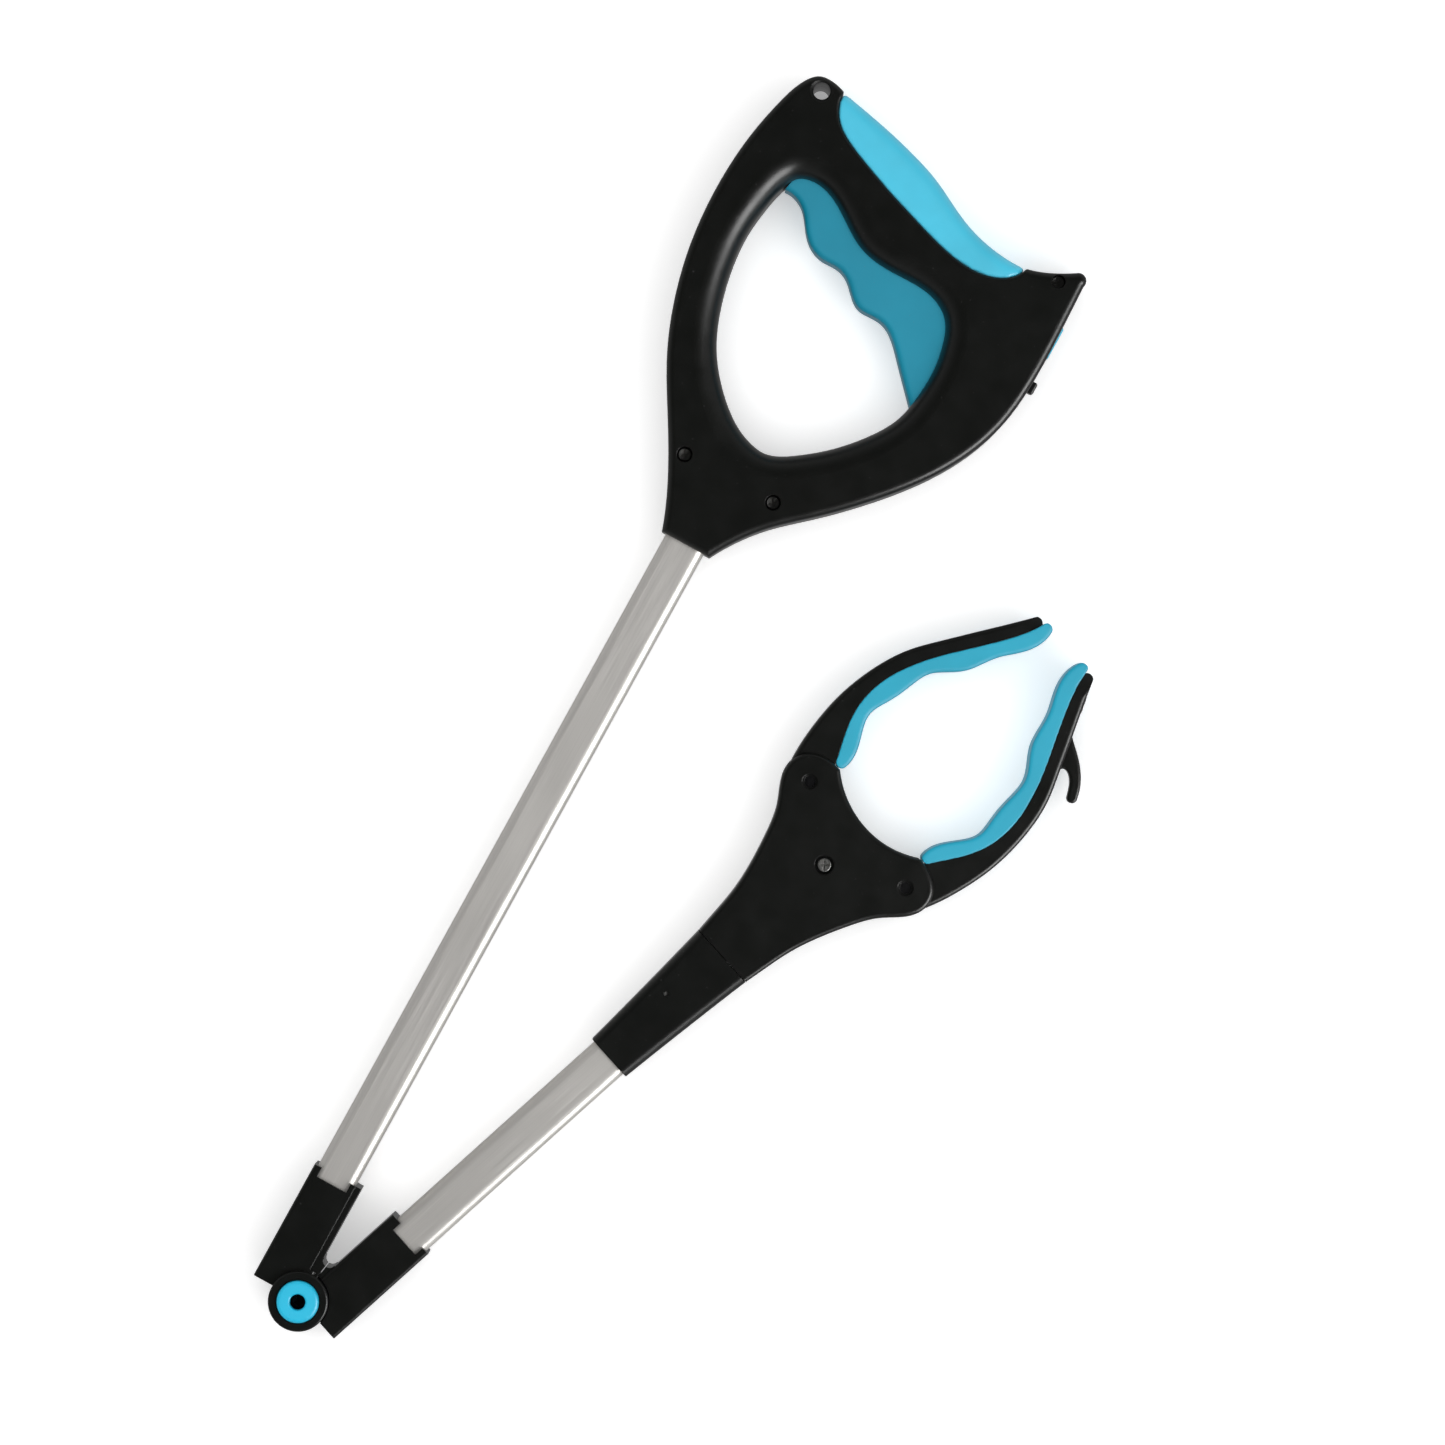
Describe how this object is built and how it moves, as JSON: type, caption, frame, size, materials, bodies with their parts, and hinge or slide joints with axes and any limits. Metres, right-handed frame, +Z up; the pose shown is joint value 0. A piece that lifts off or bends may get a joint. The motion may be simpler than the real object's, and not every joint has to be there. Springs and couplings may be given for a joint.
{
  "type": "reacher grabber",
  "caption": "Folding pick-up tool with a D-shaped trigger handle, two hinged tube arms, a release button and a swivelling head with padded jaws.",
  "frame": {"origin": "middle of the footprint of the folded tool, on the surface it lies on", "axes": "+X along the upper tube towards the handle, +Y away from the lower arm, +Z up through the tool's thickness"},
  "size_m": [0.4722, 0.2133, 0.032],
  "materials": {
    "shell_black": "semi-gloss moulded black plastic",
    "inner_plastic": "natural acetal",
    "palm_rubber": "soft satin light blue grip",
    "trigger_plastic": "satin blue plastic",
    "jaw_rubber": "soft matte blue pads",
    "button_plastic": "glossy bright blue plastic",
    "tube_aluminium": "satin anodised",
    "zinc_steel": "zinc plated",
    "dark_steel": "black oxide",
    "spring_steel": "drawn wire",
    "cable_steel": "twisted wire rope",
    "magnet_nickel": "nickel plated"
  },
  "bodies": {
    "handle": {"handle_shell_top": "shell_black", "handle_shell_bottom": "shell_black", "palm_pad": "palm_rubber", "handle_screws": "zinc_steel", "trigger_pivot_pin": "zinc_steel", "trigger_return_spring": "spring_steel", "cable_guides": "inner_plastic", "guide_pins": "zinc_steel", "tube_pin": "zinc_steel", "cable_handle_run": "cable_steel", "upper_tube": "tube_aluminium", "upper_socket": "shell_black", "upper_socket_rivets": "tube_aluminium", "hinge_pin": "zinc_steel", "hinge_pin_screw": "dark_steel", "hinge_button_spring": "spring_steel", "hinge_cable_roller": "inner_plastic", "cable_hinge_run": "cable_steel"},
    "trigger": {"trigger": "trigger_plastic", "cable_nipple": "zinc_steel"},
    "lock": {"lock_slider": "shell_black", "lock_button_face": "button_plastic"},
    "hinge_button": {"hinge_button": "button_plastic"},
    "cable_upper": {"cable_upper_run": "cable_steel"},
    "lower_arm": {"lower_socket": "shell_black", "lower_socket_rivets": "tube_aluminium", "lower_tube": "tube_aluminium", "neck_collar": "shell_black", "neck_pin": "zinc_steel"},
    "cable_lower": {"cable_lower_run": "cable_steel", "cable_ferrule": "zinc_steel"},
    "head": {"swivel_spigot": "shell_black", "head_shell_top": "shell_black", "head_shell_bottom": "shell_black", "head_screw": "zinc_steel", "jaw_pivot_pins": "dark_steel", "jaw_return_spring": "spring_steel"},
    "pull_yoke": {"pull_yoke": "inner_plastic"},
    "jaw_plain": {"jaw_plain": "shell_black", "jaw_plain_pad": "jaw_rubber", "jaw_plain_drive_pin": "zinc_steel"},
    "jaw_hook": {"jaw_hook": "shell_black", "jaw_hook_pad": "jaw_rubber", "jaw_hook_drive_pin": "zinc_steel", "tip_magnet": "magnet_nickel"}
  },
  "joints": [
    {"name": "fold", "type": "hinge", "parent": "handle", "child": "lower_arm", "pos_m": [-0.22519, 0.04718, 0.016], "axis": [0, 0, -1], "range_deg": [0, 160.8], "deforming": ["cable_hinge_run"]},
    {"name": "hinge_button_press", "type": "slide", "parent": "handle", "child": "hinge_button", "axis": [0, 0, -1], "range_m": [0, 0.0026], "stiffness_N_per_m": 900, "deforming": ["hinge_button_spring"]},
    {"name": "trigger_squeeze", "type": "hinge", "parent": "handle", "child": "trigger", "pos_m": [0.17781, -0.01132, 0.016], "axis": [0, 0, -1], "range_deg": [-8.3, 1.65], "stiffness_Nm_per_rad": 3, "deforming": ["cable_handle_run", "trigger_return_spring"]},
    {"name": "lock_slide", "type": "slide", "parent": "handle", "child": "lock", "axis": [1, 0, 0], "range_m": [0, 0.006]},
    {"name": "cable_upper_slide", "type": "slide", "parent": "handle", "child": "cable_upper", "axis": [1, 0, 0], "range_m": [-0.0029, 0.0006]},
    {"name": "cable_lower_slide", "type": "slide", "parent": "lower_arm", "child": "cable_lower", "axis": [-0.9444, 0.3289, 0], "range_m": [-0.0029, 0.0006]},
    {"name": "head_swivel", "type": "hinge", "parent": "lower_arm", "child": "head", "pos_m": [-0.04872, -0.02428, 0.016], "axis": [0.9444, -0.3289, 0], "range_deg": [-90, 90]},
    {"name": "yoke_slide", "type": "slide", "parent": "head", "child": "pull_yoke", "axis": [-0.9444, 0.3289, 0], "range_m": [-0.0029, 0.0006], "deforming": ["jaw_return_spring"]},
    {"name": "jaw_plain_pivot", "type": "hinge", "parent": "head", "child": "jaw_plain", "pos_m": [0.01939, -0.02164, 0.016], "axis": [0, 0, -1], "range_deg": [-20.2, 4.1]},
    {"name": "jaw_hook_pivot", "type": "hinge", "parent": "head", "child": "jaw_hook", "pos_m": [0.00301, -0.06867, 0.016], "axis": [0, 0, 1], "range_deg": [-20.2, 4.1]}
  ],
  "couplings": [
    {"joint": "jaw_plain_pivot", "follows": "trigger_squeeze", "ratio": 2.4},
    {"joint": "jaw_hook_pivot", "follows": "trigger_squeeze", "ratio": 2.4},
    {"joint": "yoke_slide", "follows": "trigger_squeeze", "m_per_rad": 0.01917},
    {"joint": "cable_upper_slide", "follows": "trigger_squeeze", "m_per_rad": 0.01917},
    {"joint": "cable_lower_slide", "follows": "trigger_squeeze", "m_per_rad": 0.01917}
  ]
}
